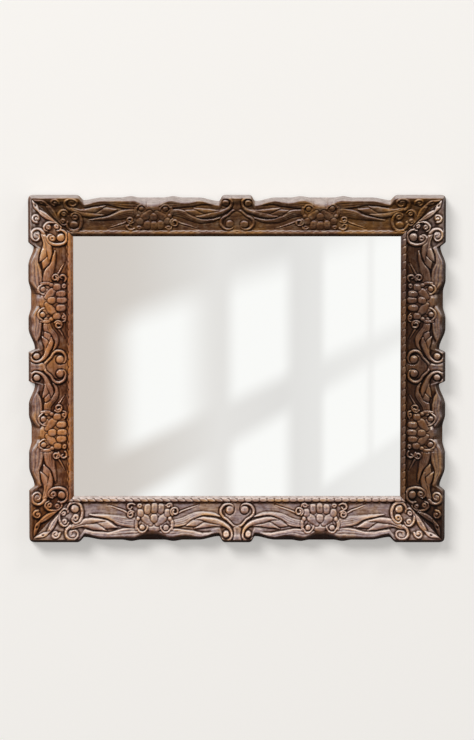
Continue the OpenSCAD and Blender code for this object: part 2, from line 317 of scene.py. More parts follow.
def heart(relief):
    """The heart at the middle: swelling body, rim that curls in round two balls, and the stem."""
    relief.stroke(
        [(0, 24, 14), (0, 34, 26), (0, 43, 25), (0, 50, 17), (0, 57, 10), (0, 65, 4)],
        rise=2.2, crown=1.4, deep=0.8,
    )
    relief.stroke(
        [(8, 27, 1.6), (11, 20.5, 2.4), (19.5, 17.6, 3), (29.5, 20, 3.4), (36.5, 29, 3.6),
         (36.5, 39, 3.5), (31, 46.5, 3.3), (22, 52, 3.2), (15, 59, 3.1), (8, 65, 3), (0, 67, 2.9)],
        rise=4.9, crown=1.8, deep=2.6, moat=2.2,
    )
    relief.ball(16.8, 30.5, 9.4, 9.6, rise=4.2, crown=3.6, deep=3, moat=3)
    relief.stroke(
        [(0, 73, 9), (0, 84, 8), (0, 98, 11), (0, 112, 12)],
        rise=3.0, crown=0.8, grooves=2, cut=0.5, deep=0.6,
    )
    relief.ball(25, 83.5, 7.6, 8, rise=4.4, crown=3.4, deep=3, moat=2.6)
    relief.stroke(
        [(95, 51.5, 0.5), (82, 50, 3.4), (69, 51, 5.6), (54, 54, 6.2), (40, 58, 5.6), (28, 63, 4.9),
         (18.5, 70, 4.1), (13, 79, 3.4), (12.5, 89, 3), (19, 96.5, 3), (29, 97.5, 2.6), (36, 91, 1.6)],
        rise=4.8, crown=2.0, deep=2.6, moat=2.2,
    )


# Where the flower's middle is drawn along a wide rail.
FLOWER_DRAWN = 188


def flower_side(relief, side):
    """One side of the flower: flank, berries, the curl that closes it and the outer petals."""

    def band(points, **shape):
        relief.stroke([(FLOWER_DRAWN + side * a, t, half) for a, t, half in points], **shape)

    def boss(a, t, ra, rt, **shape):
        relief.ball(FLOWER_DRAWN + side * a, t, ra, rt, **shape)

    band([(37, 50, 3.6), (41, 60, 4.2), (40, 73, 3.4)], rise=3.6, crown=2, grooves=1, cut=0.6)
    boss(36, 50, 4.8, 5.4, rise=4, crown=2.2, deep=1.8)
    boss(27, 69.5, 6.8, 6.6, rise=3.6, crown=2.6, deep=2.8, moat=3.0)
    band(
        [(14, 62, 1.8), (15.5, 71, 2.2), (23, 79, 2.6), (32, 78.5, 2.6), (38, 71, 2)],
        rise=4.8, crown=1.4, deep=1.6,
    )
    band(
        [(25, 42, 5.5), (19, 50, 9.6), (8, 60, 7)],
        rise=3.6, crown=2.8, grooves=1, cut=0.6, deep=1.4, moat=1.4,
    )
    boss(30.5, 37.5, 8.2, 9.4, rise=3.0, crown=3, deep=1.4, square=2.4)
    boss(33, 21.5, 6.2, 5.6, rise=3, crown=2, deep=1.8, dent=3)


def flower(relief):
    """The flower: seed cup, both sides, the middle petal and three petals towards the glass."""
    relief.ball(FLOWER_DRAWN, 46, 40, 32, rise=1.2, crown=1.4, deep=0.6, square=2.6)
    cup = [(FLOWER_DRAWN - 20, 63, 9), (FLOWER_DRAWN, 65, 13.5), (FLOWER_DRAWN + 20, 63, 9)]
    relief.stroke(cup, rise=2.8, crown=2.0, deep=1.2)
    for side in (-1, 1):
        flower_side(relief, side)
    relief.ball(FLOWER_DRAWN, 49, 8.4, 10, rise=4.4, crown=2.8, deep=1.6, square=2.3)
    for place in (-15, 0, 15):
        relief.ball(
            FLOWER_DRAWN + place, 26.5 + abs(place) * 0.12, 8.2, 12,
            rise=3.2, crown=3.4, deep=1.4, dent=0.6, square=2.5,
        )


def volutes(relief):
    """The volutes where the tendrils meet the flower, each with a drilled eye and a curl."""
    relief.stroke(
        spiral(141, 34.5, 9.8, 3.4, 60, -1.35, wide=2.2, thin=3.0),
        rigid=True, rise=4.2, crown=1.8, deep=2.6,
    )
    relief.hole(138.5, 29.5, 1.7, 3)
    relief.stroke(
        [(162, 22, 1.4), (156, 17.6, 2.2), (149, 18.2, 2.2), (147, 24, 1.6)],
        rise=3.6, crown=1.2, deep=1.8,
    )
    relief.stroke(
        [(232, 20, 1.8), (238, 16.8, 2.4), (246, 18.5, 2.8), (248.5, 26, 2.8), (242, 30, 2),
         (238.5, 25.5, 1.6)],
        rise=4.2, crown=1.4, deep=2.2,
    )
    relief.stroke(
        spiral(241, 41, 8.6, 3, 215, 1.3, wide=2.0, thin=2.8),
        rigid=True, rise=4.4, crown=1.8, deep=2.4,
    )
    relief.hole(243.5, 37, 1.5, 3)


def corner_ornament(relief):
    """The corner block's scrolls, laid from the ground up."""
    # Volute that the corner bud grows from.
    relief.ball(373, 83, 9, 9, rise=3.2, crown=1.6, deep=2)
    relief.stroke(
        [(378, 66, 4), (385, 73, 3.8), (387, 83, 3.4), (382, 92, 3.2), (372, 94.5, 3), (363, 90, 2.8),
         (361, 82, 2.4), (367, 76, 2), (375, 78, 1.8), (376, 84, 1.6)],
        rise=4.9, crown=1.6, deep=2.2,
    )
    # Big scroll back to back with the leaf, and a smaller one beside it.
    relief.ball(368, 28, 9.5, 9.5, rise=4.2, crown=3.2, deep=2.6)
    relief.ball(366, 47.5, 8, 8, rise=3.8, crown=2.6, deep=2.2, dent=3.4)
    relief.stroke(
        [(383, 37, 1.6), (385, 27, 2.8), (379, 17.5, 3.2), (368, 14.6, 3.4), (357, 19, 3.6),
         (352.5, 28, 3.8), (351.5, 38, 3.8), (353.5, 48, 3.6), (359, 56, 3.2), (367, 58.5, 2.8),
         (373.5, 54, 2.2), (374, 48, 1.4)],
        rise=5.0, crown=1.6, deep=2.6,
    )
    relief.ball(393.5, 38, 6.5, 6.5, rise=3.8, crown=2.4, deep=2.2, dent=3)
    relief.ball(391, 56, 6.5, 6.5, rise=3.8, crown=2.4, deep=2.2, dent=3.4)
    relief.stroke(
        [(386, 31, 1.6), (391, 27.8, 2.4), (398, 30, 3), (402.5, 38, 3.2), (403, 48, 3.2),
         (400, 59, 3.1), (393, 65.5, 2.9), (385, 64, 2.4), (382, 58, 1.6)],
        rise=4.8, crown=1.4, deep=2.4,
    )
    # Corner leaf, its curl, the drilled eye and the tip.
    relief.stroke(
        [(405, 40, 1.5), (410, 50, 5), (417, 62, 6.8), (424, 73, 5.6), (431, 82, 2)],
        rise=4.0, crown=2.6, grooves=2, cut=0.8, deep=2,
    )
    relief.stroke(
        spiral(411, 84, 9.5, 3, 190, -1.2, wide=3, thin=1.8),
        rigid=True, rise=4.2, crown=1.6, deep=2,
    )
    relief.ball(411, 84, 3.4, 3.4, rise=4, crown=2, deep=1)
    relief.stroke(
        [(425, 78, 2), (436, 84, 5.5), (447, 88, 4.5), (460, 92, 1)],
        rise=3.2, crown=1.8, deep=1.6,
    )
    relief.hole(440, 86, 2.3, 3.4)


# The lower leaves' bands: how high they stand, and the hair lines cut along them.
BAND_RISE = 3.6
HAIR_DEEP = 1.1
HAIRS = 3


def leaf_band(place, a, out, crest_t, reach, band_line, hair_bend):
    """The lower leaves: bands between a soft line and the crest, with hair lines along them."""
    band_top = np.interp(a, *band_line)
    leaf = np.maximum(*(trough(place, middle, half, 12) for middle, half in reach))
    through = (out - band_top) / np.maximum(crest_t - band_top, 4)
    band = ease((out - band_top) / STROKE_SOFT) * leaf
    hair = 0.5 + 0.5 * np.cos(through * math.pi * 2 * HAIRS + 0.5 * hair_bend)
    z = band * (BAND_RISE + 0.9 * through - HAIR_DEEP * hair**3 * ease((through - 0.12) / 0.2))
    z -= 1.5 * leaf * ease(1 - np.abs(out - band_top + 1.2) / 1.8)
    return z, leaf, band


# The row of beads along the glass.
BEAD_PITCH = 17.0
BEAD_PLACE = 7.9
BEAD_HALF = 5.2
BEAD_RISE = 2.2
BEAD_SUNK = 1.9
BEAD_GROOVE = 13.2
GROOVE_DEEP = 2.8


def bead_row(x, out, look):
    """Slanted lozenge beads between the plain sight edge and a cut-in groove."""
    slope = np.where(x < 0, look["bead_slant"][0], look["bead_slant"][1])
    cell = ((x + slope * (out - 7)) / BEAD_PITCH) % 1.0 * 2 - 1
    parted = 1 - look["beads_joined"] * ease((12.5 - out) / 5)
    bead = 1 - (parted * np.abs(cell) ** 3.0 + np.abs((out - BEAD_PLACE) / BEAD_HALF) ** 3.0)
    beads = BEAD_RISE * ease(bead * 1.4 + 0.05) - BEAD_SUNK
    beads = beads * ease((out - 2.4) / 1.4) * ease((13.5 - out) / 1.2)
    return beads - GROOVE_DEEP * bump(out, BEAD_GROOVE - 1.3 * cell**2, 2.2)


# The ornament is drawn for this width, and drawn together along the tall rails.
DRAWN_WIDTH = 106
WIDE_PLACES = [0, 44, 137, 188, 243, 346, 400]
TALL_PLACES = [0, 42, 90, 150, 203, 270, 324]
GROUND_DEEP = 5.2
DEEPEST_CUT = -3.2
HIGHEST_RISE = 7.2


def carved_height(x, t, width, kind, met, crest, look, seed):
    """Height of a rail's face over its plain section, and how deep each point lies in it."""
    half = kind["half"]
    flower_at = kind["flower_at"]
    tall = half == SIGHT_HALF_TALL
    place = np.abs(x)
    out = t * DRAWN_WIDTH / width
    a = place + 0.9 * rough(x, out, 27, seed) + 0.5 * rough(x, out, 11, seed + 1)
    u_out = out + 0.8 * rough(x, out, 24, seed + 2) + 0.4 * rough(x, out, 10, seed + 3)
    corner_notch = half - CORNER_BACK

    def placed(value):
        return float(np.interp(value, WIDE_PLACES, TALL_PLACES)) if tall else value

    def corner_placed(value):
        return value - (SIGHT_HALF_WIDE - half)

    relief = Relief(a, u_out, placed)
    crest_t = crest * DRAWN_WIDTH
    band_a = [0, 32, 38, 56, 79, 101, 128, 150, 226, 239, 266, 291, 318, 348, 361, 372]
    band_t = [78, 76, 75, 79, 80, 75, 72, 71, 70, 68, 72, 79, 77, 72, 73, 75]
    band_a = [placed(v) for v in band_a]
    reach = (
        ((TAB_NOTCH + flower_at) / 2, (flower_at - TAB_NOTCH) / 2 - 22),
        ((flower_at + corner_notch) / 2, (corner_notch - flower_at) / 2 - 12),
    )
    hair_bend = rough(x, out, 30, seed + 4)
    relief.z, leaf, band = leaf_band(place, a, u_out, crest_t, reach, (band_a, band_t), hair_bend)
    sweeping_leaves(relief)
    buds(relief)
    heart(relief)
    flower(relief)
    volutes(relief)
    relief.placed = corner_placed
    corner_ornament(relief)
    z = np.clip(relief.z, DEEPEST_CUT, HIGHEST_RISE)
    # The ground sinks between the bead row and the crest, and dies out into the mitre.
    sunk = GROUND_DEEP * ease((out - 12.6) / 3)
    bowl = ease((crest_t + 1 - out) / 16)
    under_leaf = ease((crest_t + 6 - out) / 14 + band)
    sunk = sunk * (leaf * under_leaf + (1 - leaf) * np.maximum(bowl, 0.55))
    to_mitre = half + t / width * met - place
    z = z * ease(to_mitre / 3.2)
    face = -sunk + z * ease((out - 12) / 2.5)
    # Marks of the gouge, small and round, then larger, then long and shallow.
    face += 0.16 * rough(x, out, 2.6, seed + 5) + 0.22 * rough(x, out, 7, seed + 6)
    face += 0.28 * rough(x * 0.16, out, 2.5, seed + 7)
    height = face * ease((out - 12.4) / 2) + bead_row(x, out, look)
    # A hand-worn surface has no crisp corners.
    for axis in (0, 1):
        height = (np.roll(height, 1, axis) + 2 * height + np.roll(height, -1, axis)) / 4
    # Raised places are rubbed pale and painted lit, sunk ones keep dark wax and painted shade.
    mean = height.copy()
    for axis in (0, 1):
        for step in (1, 2, 2):
            back = np.roll(mean, step, axis)
            ahead = np.roll(mean, -step, axis)
            mean = (back + mean + ahead) / 3
    cavity_and_shade = np.clip(0.5 + look["contrast"] * (height - mean) / 2.6, 0, 1)
    # Darker on the sunk ground.
    cavity_and_shade = np.clip(cavity_and_shade + look["ground_darkening"] * (z - 2.0) * ease((out - 14) / 3), 0, 1)
    # The bead row is rubbed lighter, with painted light.
    cavity_and_shade = np.clip(cavity_and_shade + 0.1 * ease((12 - out) / 2), 0, 1)
    return height, cavity_and_shade


def flat_grid(name, along, across, half_size):
    """A flat square mesh with that many parts each way."""
    bm = bmesh.new()
    bmesh.ops.create_grid(bm, x_segments=along, y_segments=across, size=half_size)
    mesh = bpy.data.meshes.new(name)
    bm.to_mesh(mesh)
    bm.free()
    return mesh


def carry(mesh, name, kind, values):
    """Gives each point of a mesh a value or a vector to carry under that name."""
    stored = "FLOAT_VECTOR" if kind == "vector" else "FLOAT"
    data = mesh.attributes.new(name, stored, "POINT").data
    data.foreach_set(kind, values.astype(np.float32).ravel())


def in_scene(name, data):
    """A new object made of that mesh, lamp or camera."""
    made = bpy.data.objects.new(name, data)
    bpy.context.collection.objects.link(made)
    return made


def values_of(source, name):
    """Three numbers for each point of a mesh, one after the other."""
    values = np.empty(len(source) * 3, np.float32)
    source.foreach_get(name, values)
    return values


def close_rail(mesh, columns, creases):
    """Joins the grid's first and last row, closes its ends, and keeps the section's corners crisp."""
    bm = bmesh.new()
    bm.from_mesh(mesh)
    bm.verts.ensure_lookup_table()
    for k in creases:
        line = {bm.verts[k * (columns + 1) + c] for c in range(columns + 1)}
        for vert in line:
            for edge in vert.link_edges:
                if edge.other_vert(vert) in line:
                    edge.smooth = False
    bmesh.ops.remove_doubles(bm, verts=bm.verts, dist=2e-6)
    open_edges = [e for e in bm.edges if e.is_boundary]
    capped = bmesh.ops.holes_fill(bm, edges=open_edges, sides=0)
    for f in bm.faces:
        f.smooth = True
    for f in capped["faces"]:
        f.smooth = False
        for e in f.edges:
            e.smooth = False
    bmesh.ops.recalc_face_normals(bm, faces=bm.faces)
    bm.to_mesh(mesh)
    bm.free()


# Where dust, wax, painted light and painted shade change along the rails, in metres: the bead
# row's width, how far out the crest starts, and how far from the mirror's middle the high ends,
# low ends and corners do.
BEAD_ROW = 0.0142
CREST_FROM = 0.05
HIGH_FROM = 0.2
LOW_FROM = 0.28
CORNER_FROM = 0.335
# How far faces turned to the left and right are darkened with painted shade.
SIDE_PAINTED_SHADE = 0.45


def dust_light_and_tint(mesh, width, look):
    """Dust and painted light on what faces up, more on some faces, beads, crests and high ends;
    painted shade on what faces down or sideways and at the low ends, darker corners, and the tint.
    """
    normals = values_of(mesh.vertex_normals, "vector")
    spot = values_of(mesh.attributes["carving_place"].data, "vector")
    points = values_of(mesh.vertices, "co")
    bead_width = BEAD_ROW * width / DRAWN_WIDTH
    beads = ease((bead_width - spot[1::3]) / 0.002) * ease(spot[1::3] / 0.001)
    front = ease((-normals[1::3] - 0.3) / 0.3)
    face_dust_and_light = look["face_dust_and_light"]
    # What faces up gets dust and painted light, and what faces down gets painted shade.
    dust_light_and_shade = normals[2::3] + front * (face_dust_and_light + (look["bead_dust_and_light"] - face_dust_and_light) * beads)
    up_high = ease((points[2::3] - HIGH_FROM) / 0.12)
    down_low = ease((-points[2::3] - LOW_FROM) / 0.08)
    on_crest = ease((spot[1::3] - CREST_FROM) / 0.03)
    at_corner = ease((np.abs(points[0::3]) - CORNER_FROM) / 0.05)
    # Painted light on the high ends and painted shade on the low ends.
    dust_light_and_shade += look["high_light_low_shade"] * front * (up_high - 0.9 * down_low)
    # Painted light along the crest.
    dust_light_and_shade += look["crest_painted_light"] * front * on_crest * (1 - down_low)
    # Darker towards the corners.
    dust_light_and_shade -= look["corner_darkening"] * front * at_corner
    # Painted shade on faces turned sideways.
    sides = (1 - front) * (1 - np.abs(normals[2::3])) * ease((0.6 - normals[1::3]) / 0.4)
    dust_light_and_shade -= SIDE_PAINTED_SHADE * sides
    # Each rail's tint also paints the light and shade on it; the back keeps its own tint.
    at_back = (normals[1::3] > 0.4)[:, None]
    carry(mesh, "dust_and_painted_light", "value", dust_light_and_shade)
    carry(mesh, "wax_and_light_tint", "vector", np.where(at_back, BACK_TINT, look["tint_and_light"]))


# The section, as heights over the wood's back and as shares of the rail's width.
BACK_OFF_WALL = 6
RABBET_DEEP = 10.3
RABBET_SHARE = 0.1165
SIGHT_HEIGHT = 17.3
FOOT_HEIGHT = 18.5
BEAD_SHARE = 0.14
BEAD_STEPS = [0, 0.02, 0.045, 0.115, 0.14]
BEAD_HEIGHTS = [SIGHT_HEIGHT, 18.0, 21.3, 21.3, FOOT_HEIGHT]
COVE_SAG = 0.15
CREST_HEIGHT = 47
TOP_HEIGHT = 48.4
EDGE_HEIGHT = 4
ROUNDED_STEPS = [0, 0.1, 0.3, 1]
ROUNDED_HEIGHTS = [1, 0.985, 0.9, 0]
# The grid runs straight up to MITRE_RUN before the sight corner, and then fans out to the mitre.
MITRE_RUN = 60
PAST_MITRE = 50
# Rows of the grid on the bead, cove, outer side, its foot, back, rabbet side, rabbet and lip.
ROW_SPANS = [16, 70, 12, 2, 4, 2, 2, 4]
GRAIN_APART = 2000


def wrapped_rail(name, kind, width, others, turn, seed, look):
    """A grid bent round the section: face, crest, outer side, back and rabbet, closed at the ends."""
    half = kind["half"]
    columns = kind["columns"]
    rows = sum(ROW_SPANS)
    stops = np.cumsum([0] + ROW_SPANS)
    mesh = flat_grid(name, columns, rows, 0.5)
    flat = np.empty(len(mesh.vertices) * 3)
    mesh.vertices.foreach_get("co", flat)
    flat = flat.reshape(-1, 3)
    across = np.rint((flat[:, 0] + 0.5) * columns).astype(int).reshape(rows + 1, columns + 1)
    down = np.rint((flat[:, 1] + 0.5) * rows).astype(int).reshape(rows + 1, columns + 1)
    straight = half - MITRE_RUN
    reach = half + PAST_MITRE
    guide = (across / columns * 2 - 1) * reach
    met = np.where(guide < 0, others[0], others[1])
    q = np.clip((np.abs(guide) - straight) / (reach - straight), 0, 1)

    def placed_at(u):
        run = np.abs(guide).clip(max=straight) + q * (half + u * met - straight)
        return np.sign(guide) * run

    def part(k):
        return np.clip((down - stops[k]) / ROW_SPANS[k], 0, 1)

    edge, crest = wavy_edge(np.abs(placed_at(1)), width, kind, met)
    u = BEAD_SHARE * part(0) + (crest - BEAD_SHARE) * part(1) + (edge - crest) * part(2)
    u = np.where(down > stops[4], edge + (RABBET_SHARE - edge) * part(4), u)
    u = np.where(down > stops[6], RABBET_SHARE * (1 - part(6)), u)
    u = np.where(down > stops[7], 0, u)
    x = placed_at(u)
    t = u * width
    up = (u - BEAD_SHARE) / (CREST_SHARE - BEAD_SHARE)
    swell = FOOT_HEIGHT + (CREST_HEIGHT - FOOT_HEIGHT) * up * (1 - COVE_SAG * (1 - up))
    base = np.where(u < BEAD_SHARE, np.interp(u, BEAD_STEPS, BEAD_HEIGHTS), swell)
    relief, hollow_and_shade = carved_height(x, t, width, kind, met, crest, look, seed)
    on_face = down <= stops[2]
    height = np.where(on_face, np.minimum(base + relief, TOP_HEIGHT), 0)
    top = height[stops[2]][None, :]
    v = part(2)
    turn_over = np.interp(v, ROUNDED_STEPS, ROUNDED_HEIGHTS)
    outer = EDGE_HEIGHT + (top - EDGE_HEIGHT) * turn_over
    outer += 0.5 * rough(x, t, 14, seed + 8) * np.sin(math.pi * v)
    foot = EDGE_HEIGHT * (1 - part(3))
    lip = RABBET_DEEP + (SIGHT_HEIGHT - RABBET_DEEP) * part(7)
    spans = (outer, foot, 0, RABBET_DEEP * part(5), RABBET_DEEP, lip)
    for k, heights in enumerate(spans, start=2):
        height = np.where((down > stops[k]) & (down <= stops[k + 1]), heights, height)
    height[rows] = height[0]
    # Off the face, an even share of wax and painted shade: plain on the outer side, darker on the
    # back.
    hollow_and_shade = np.where(on_face, hollow_and_shade, np.where(down <= stops[3], 0.5, 0.4))
    away = t + (SIGHT_HALF_TALL if half == SIGHT_HALF_WIDE else SIGHT_HALF_WIDE)
    turned = math.radians(turn)
    px = x * math.cos(turned) + away * math.sin(turned)
    pz = -x * math.sin(turned) + away * math.cos(turned)
    placed = np.stack([px, -BACK_OFF_WALL - height, pz], -1).reshape(-1, 3) * MILLIMETRE
    mesh.vertices.foreach_set("co", placed.ravel())
    seen = np.stack([x + GRAIN_APART * seed, t, height], -1).reshape(-1, 3) * MILLIMETRE
    carry(mesh, "carving_place", "vector", seen)
    carry(mesh, "wax_wear_and_painted_shade", "value", hollow_and_shade)
    close_rail(mesh, columns, (0, *stops[3:8], rows))
    dust_light_and_tint(mesh, width, look)
    piece = in_scene(name + "_carved", mesh)
    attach(piece, "frame")
    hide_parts(name)
    return piece


# Each flower is about halfway between the tab and the corner block.
FLOWER_WIDE = TAB_NOTCH + 0.49 * (SIGHT_HALF_WIDE - CORNER_BACK - TAB_NOTCH)
FLOWER_TALL = TAB_NOTCH + 0.48 * (SIGHT_HALF_TALL - CORNER_BACK - TAB_NOTCH)
# The tint of the rails' back, which is plain wood, darkened with age.
BACK_TINT = (0.62, 0.58, 0.54)
# How each rail was cut, has aged and is painted lit: the slant of its beads on either half, how
# far they run together, the wax's tint with the rail's painted light and shade, the dust and
# painted light on the face and beads, the painted light on the high end and shade on the low
# end, the painted light on the crest, the darker ground and corners, and how strongly the cuts
# are painted dark and the raised places pale.
BOTTOM_LOOK = dict(
    bead_slant=(0.1, 0.9), beads_joined=0.0, tint_and_light=(0.95, 0.92, 1.05),
    face_dust_and_light=0.2, bead_dust_and_light=0.55, high_light_low_shade=0.0, crest_painted_light=0.0,
    ground_darkening=0.0, corner_darkening=0.0, contrast=1.0,
)
TOP_LOOK = dict(
    bead_slant=(0.3, -0.3), beads_joined=0.7, tint_and_light=(1.12, 1.07, 0.735),
    face_dust_and_light=0.05, bead_dust_and_light=-0.5, high_light_low_shade=0.0, crest_painted_light=0.0,
    ground_darkening=0.0, corner_darkening=0.18, contrast=0.25,
)
RIGHT_LOOK = dict(
    bead_slant=(0.4, 0.4), beads_joined=0.3, tint_and_light=(0.345, 0.262, 0.165),
    face_dust_and_light=-0.06, bead_dust_and_light=0.05, high_light_low_shade=0.35, crest_painted_light=0.38,
    ground_darkening=0.07, corner_darkening=0.0, contrast=0.95,
)
LEFT_LOOK = dict(
    bead_slant=(0.4, 0.4), beads_joined=0.75, tint_and_light=(1.22, 0.965, 0.7),
    face_dust_and_light=0.0, bead_dust_and_light=-0.12, high_light_low_shade=0.4, crest_painted_light=0.42,
    ground_darkening=0.07, corner_darkening=0.0, contrast=0.95,
)
# The top and bottom rails have their leaves set in from the tabs, with small peaks on them.
WIDE = dict(half=SIGHT_HALF_WIDE, flower_at=FLOWER_WIDE, leaf_set=6, peak=3, columns=870)
TALL = dict(half=SIGHT_HALF_TALL, flower_at=FLOWER_TALL, leaf_set=0, peak=0, columns=740)
both_sides = (SIDE_WIDTH, SIDE_WIDTH)
rails = []
for name, kind, width, others, turn, seed, look in (
    ("bottom_rail", WIDE, BOTTOM_WIDTH, both_sides, 180, 11, BOTTOM_LOOK),
    ("top_rail", WIDE, TOP_WIDTH, both_sides, 0, 23, TOP_LOOK),
    ("right_rail", TALL, SIDE_WIDTH, (TOP_WIDTH, BOTTOM_WIDTH), 90, 37, RIGHT_LOOK),
    ("left_rail", TALL, SIDE_WIDTH, (BOTTOM_WIDTH, TOP_WIDTH), -90, 53, LEFT_LOOK),
):
    rails.append(wrapped_rail(name, kind, width, others, turn, seed, look))

# The rails' look: waxed old hardwood, brown with lighter and redder patches, fine grain lines
# along each rail and a satin sheen. Dark wax and painted shade lie in the cuts, raised edges are
# rubbed and painted lit, pale dust and painted light lie on what faces up, and painted shade on
# what faces down.
GRAIN_ALONG = (4, 60, 60)
DARK_GRAIN = (0.085, 0.03, 0.014)
BROWN_WOOD = (0.165, 0.075, 0.04)
PALE_GRAIN = (0.27, 0.145, 0.088)
GOLDEN_WOOD = (0.28, 0.135, 0.042)
GREYED_WOOD = (0.26, 0.19, 0.18)
RED_LIT_DUST = (0.4, 0.3, 0.3)
GREY_LIT_DUST = (0.46, 0.395, 0.44)
WARM_LIT_DUST = (0.52, 0.43, 0.38)
PALEST_LIT_DUST = (0.52, 0.44, 0.41)
HONEY_WAX = (0.5, 0.315, 0.13)
# Shares of the colour that stay: painted shade where the wood faces down, and from the cuts'
# dark wax and painted shade to the rubbed tops' painted highlight.
LEFT_PLAIN = (1, 1, 1)
SLANT_SHADE_SHARE = (0.5, 0.45, 0.42)
UNDERSIDE_SHADE_SHARE = (0.1, 0.085, 0.08)
DEEP_WAX_AND_SHADE = (0.08, 0.045, 0.03)
WAXED_CUT_AND_SHADE = (0.45, 0.35, 0.28)
RUBBED_TOP_AND_HIGHLIGHT = (1.8, 1.75, 1.7)
UNLIT_DULL = (0.95, 0.95, 0.95)
# How far pores and blotches break up the rubbed, painted-lit places, and how far these and gold
# show honey.
PORE_SHARE = 0.5
BLOTCH_SHARE = 0.45
HONEY_SHARE = 0.5


def feed(tree, socket, value):
    """Links a node's output into a socket, or sets the socket to a number or a colour."""
    if isinstance(value, bpy.types.NodeSocket):
        tree.links.new(value, socket)
    elif socket.type == "RGBA":
        socket.default_value = (*value, 1)
    else:
        socket.default_value = value


def node(tree, kind, **values):
    """A new node, with the named inputs fed and the other named settings set."""
    made = tree.nodes.new("ShaderNode" + kind)
    for key, value in values.items():
        if key in made.inputs:
            feed(tree, made.inputs[key], value)
        else:
            setattr(made, key, value)
    return made


def empty_material(name):
    """A material without a shader, its node tree, and the socket that its surface goes into."""
    material = bpy.data.materials.new(name)
    material.use_nodes = True
    tree = material.node_tree
    tree.nodes.clear()
    output = node(tree, "OutputMaterial")
    return material, tree, output.inputs["Surface"]


def new_material(name):
    """A material, its node tree, and the shader that makes its surface."""
    material, tree, surface = empty_material(name)
    shader = node(tree, "BsdfPrincipled")
    feed(tree, surface, shader.outputs[0])
    return material, tree, shader


def ramp(tree, value, stops):
    """A colour for each value, through colours or plain greys that are set along the way."""
    made = tree.nodes.new("ShaderNodeValToRGB")
    while len(made.color_ramp.elements) < len(stops):
        made.color_ramp.elements.new(0.5)
    for element, (place, colour) in zip(made.color_ramp.elements, stops):
        grey_or_colour = (colour,) * 3 if isinstance(colour, float) else colour
        element.position = place
        element.color = (*grey_or_colour, 1)
    feed(tree, made.inputs[0], value)
    return made.outputs[0]


def mixed(tree, share, a, b, blend="MIX"):
    """Colour a with that share of colour b laid over it."""
    made = node(tree, "Mix", data_type="RGBA", blend_type=blend)
    # The node keeps its two colours in sockets 6 and 7, and gives the colour out at 2.
    for socket, value in ((0, share), (6, a), (7, b)):
        feed(tree, made.inputs[socket], value)
    return made.outputs[2]


def joined(tree, kind, *values, **settings):
    """What a new node gives out, with its inputs fed in their own order."""
    made = node(tree, kind, **settings)
    for socket, value in zip(made.inputs, values):
        feed(tree, socket, value)
    return made.outputs[0]


def worked(tree, operation, a, b):
    """The outcome of a sum on two numbers."""
    return joined(tree, "Math", a, b, operation=operation)


def soft_step(tree, value, low, high):
    """Softly from 0 to 1 as the value goes from low to high."""
    made = node(tree, "MapRange", interpolation_type="SMOOTHSTEP", Value=value)
    made.inputs["From Min"].default_value = low
    made.inputs["From Max"].default_value = high
    return made.outputs["Result"]


def noise(tree, place, scale, detail, roughness=0.5):
    """Cloudy noise over a place, from 0 to 1."""
    made = node(tree, "TexNoise", Vector=place, Scale=scale, Detail=detail, Roughness=roughness)
    return made.outputs["Fac"]


def carried(tree, name, output):
    """What each point of the mesh carries under that name."""
    return node(tree, "Attribute", attribute_name=name).outputs[output]


def group(name, inputs, outputs):
    """A new node group: its tree, what comes into it, and the sockets of what it gives out."""
    tree = bpy.data.node_groups.new(name, "ShaderNodeTree")
    for way, sockets in (("INPUT", inputs), ("OUTPUT", outputs)):
        for label, kind in sockets.items():
            tree.interface.new_socket(label, in_out=way, socket_type="NodeSocket" + kind)
    start = tree.nodes.new("NodeGroupInput")
    end = tree.nodes.new("NodeGroupOutput")
    return tree, start.outputs, end.inputs


grain_group, given, shown = group(
    "wood grain",
    dict(Place="Vector", Along="Vector"),
    dict(Lines="Float", Patches="Float", Pores="Float", Blotches="Float"),
)
place = given["Place"]
stretched = joined(grain_group, "VectorMath", place, given["Along"], operation="MULTIPLY")
clouds = node(grain_group, "TexNoise", Vector=place, Scale=9.0, Detail=3.0).outputs["Color"]
push = node(grain_group, "VectorMath", operation="SCALE", Vector=clouds, Scale=1.6)
bent = joined(grain_group, "VectorMath", stretched, push.outputs[0], operation="ADD")
for what, where, scale, detail, roughness in (
    ("Lines", bent, 2.2, 6.0, 0.62),
    ("Patches", place, 16.0, 3.0, 0.55),
    ("Pores", bent, 11.0, 4.0, 0.7),
    ("Blotches", place, 75.0, 4.0, 0.6),
):
    feed(grain_group, shown[what], noise(grain_group, where, scale, detail, roughness))

rail_wood, tree, shader = new_material("rail_wood")
# The mesh carries its wax and painted shade, its dust and painted light by which way it faces, and
# each rail's tint with its painted light and shade.
height = carried(tree, "wax_wear_and_painted_shade", "Fac")
facing = carried(tree, "dust_and_painted_light", "Fac")
tint_and_light = carried(tree, "wax_and_light_tint", "Color")
place = carried(tree, "carving_place", "Vector")
grain = node(tree, "Group", node_tree=grain_group, Place=place, Along=GRAIN_ALONG).outputs
tone = ramp(tree, grain["Lines"], [(0.3, DARK_GRAIN), (0.5, BROWN_WOOD), (0.7, PALE_GRAIN)])
golden = ramp(tree, grain["Patches"], [(0.46, 0.0), (0.6, 0.85)])
colour = mixed(tree, golden, tone, GOLDEN_WOOD)
greyed = ramp(tree, grain["Blotches"], [(0.5, 0.0), (0.66, 0.55)])
colour = mixed(tree, greyed, colour, GREYED_WOOD)
colour = mixed(tree, 1.0, colour, tint_and_light, "MULTIPLY")
# The dark wax and painted shade in the cuts, and the rubbed, painted-lit tops, end unevenly.
pored = worked(tree, "SUBTRACT", grain["Pores"], 0.5)
blotched = worked(tree, "SUBTRACT", grain["Blotches"], 0.5)
pored = worked(tree, "MULTIPLY", pored, PORE_SHARE)
blotched = worked(tree, "MULTIPLY", blotched, BLOTCH_SHARE)
wear_and_painted_light = worked(tree, "ADD", height, worked(tree, "ADD", pored, blotched))
